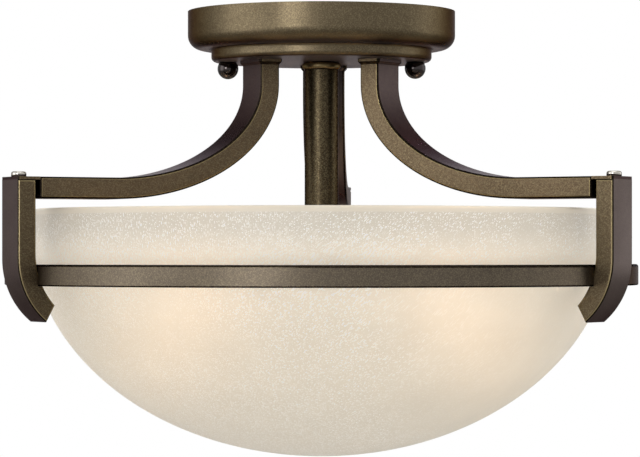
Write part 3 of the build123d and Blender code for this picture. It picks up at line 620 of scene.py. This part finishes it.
# Bulbs: blown glass envelopes frosted inside, lit warm white, crimped in rolled aluminium screw caps.
# The frost hides the light source, so the whole envelope glows evenly; the caps are lightly scuffed.
FROST_SIZE = 3.0
frosted, tree, shader = new_material("lit_frosted_glass")
place = add_node(tree, "ShaderNodeTexCoord", {}).outputs["Object"]
frost = add_node(tree, "ShaderNodeTexNoise", {"Vector": place, "Scale": 1000 / FROST_SIZE, "Detail": 2.0})
polish = add_node(tree, "ShaderNodeMapRange", {0: frost.outputs["Fac"], 3: 0.25, 4: 0.40})
tree.links.new(polish.outputs[0], shader.inputs["Roughness"])
shader.inputs["Base Color"].default_value = linear("#FBF6EA")
shader.inputs["Emission Color"].default_value = linear("#FFD3A6")
shader.inputs["Emission Strength"].default_value = 4.2
paint(frosted, "left_bulb_glass", "right_bulb_glass")

SCUFF_SIZE = 2.0
cap_metal, tree, shader = new_material("rolled_aluminium")
place = add_node(tree, "ShaderNodeTexCoord", {}).outputs["Object"]
scuff = add_node(tree, "ShaderNodeTexNoise", {"Vector": place, "Scale": 1000 / SCUFF_SIZE, "Detail": 3.0})
polish = add_node(tree, "ShaderNodeMapRange", {0: scuff.outputs["Fac"], 3: 0.25, 4: 0.45})
tree.links.new(polish.outputs[0], shader.inputs["Roughness"])
shader.inputs["Base Color"].default_value = linear("#C4C5C6")
shader.inputs["Metallic"].default_value = 1.0
paint(cap_metal, "left_bulb_cap", "right_bulb_cap")

# Leads: plastic-covered wire pairs, led from the lampholders through the strap and up the stem to the canopy.
# The jackets are smooth and matt, and lie in easy bends where they leave the holders and the stem.
LEAD_RADIUS = 0.0015
RUB_SIZE = 4.0
jacket = clouded("wire_jacket", RUB_SIZE, 2.0, "#1E1E21", "#2C2C2F", (0.40, 0.60))[0]
lead_route = (
    (0.02328, -0.11783), (0.01562, -0.11140), (0.00175, -0.1181), (0.00175, -0.1105), (0.00175, -0.018),
    (0.00175, -0.011), (0.010, -0.011), (0.020, -0.011),
)
for side, sign in (("left", -1), ("right", 1)):
    line = bpy.data.curves.new(side + "_wire_pair", "CURVE")
    line.dimensions = "3D"
    line.bevel_depth = LEAD_RADIUS
    line.bevel_resolution = 4
    line.use_fill_caps = True
    spline = line.splines.new("NURBS")
    spline.points.add(len(lead_route) - 1)
    for point, (x, z) in zip(spline.points, lead_route):
        point.co = (sign * x, 0, z, 1)
    spline.order_u = 3
    spline.use_endpoint_u = True
    spline.resolution_u = 8
    line.materials.append(jacket)
    lead = bpy.data.objects.new(side + "_wire_pair", line)
    scene.collection.objects.link(lead)
    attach(lead, "fixture")
    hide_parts(side + "_lead")

# Wire connectors: moulded plastic cones with finger ribs, twisted over the leads' ends inside the canopy.
# The plastic is a little glossy, with faint flow swirls from the moulding.
MOUTH_RADIUS = 0.0052
TIP_RADIUS = 0.0037
TIP_ROUND = 0.0014
CONE_LENGTH = 0.020
MOUTH_PLACE = 0.014
CONE_LEVEL = -0.011
RIB_EDGE = 0.00015
RIB_DEPTH = 0.0004
WALL_AREA = 1e-5
SWIRL_SIZE = 6.0
moulded, shader = clouded("moulded_connector", SWIRL_SIZE, 2.0, "#C9661A", "#E07F2C")
shader.inputs["Roughness"].default_value = 0.38
bm = bmesh.new()
for sign in (-1, 1):
    cone = bmesh.ops.create_cone(
        bm, cap_ends=True, segments=36, radius1=MOUTH_RADIUS, radius2=TIP_RADIUS, depth=CONE_LENGTH
    )
    tip = [e for v in cone["verts"] if v.co.z > 0 for e in v.link_edges if all(w.co.z > 0 for w in e.verts)]
    bmesh.ops.bevel(
        bm,
        geom=list(set(tip)),
        offset=TIP_ROUND,
        offset_type="OFFSET",
        segments=4,
        profile=0.5,
        affect="EDGES",
        material=-1,
    )
    fresh = [v for v in bm.verts if abs(v.co.x) < MOUTH_PLACE / 2]
    walls = [
        f for f in bm.faces
        if f.calc_area() > WALL_AREA and len(f.verts) == 4 and all(v in fresh for v in f.verts)
    ]
    bmesh.ops.inset_individual(bm, faces=walls[::2], thickness=RIB_EDGE, depth=-RIB_DEPTH)
    fresh = [v for v in bm.verts if abs(v.co.x) < MOUTH_PLACE / 2]
    bmesh.ops.rotate(bm, cent=(0, 0, 0), matrix=Matrix.Rotation(radians(90 * sign), 3, "Y"), verts=fresh)
    bmesh.ops.translate(bm, vec=(sign * (MOUTH_PLACE + CONE_LENGTH / 2), 0, CONE_LEVEL), verts=fresh)
bmesh.ops.recalc_face_normals(bm, faces=bm.faces)
connectors = new_piece("ribbed_connectors", bm, moulded, "fixture", "wire_connectors")
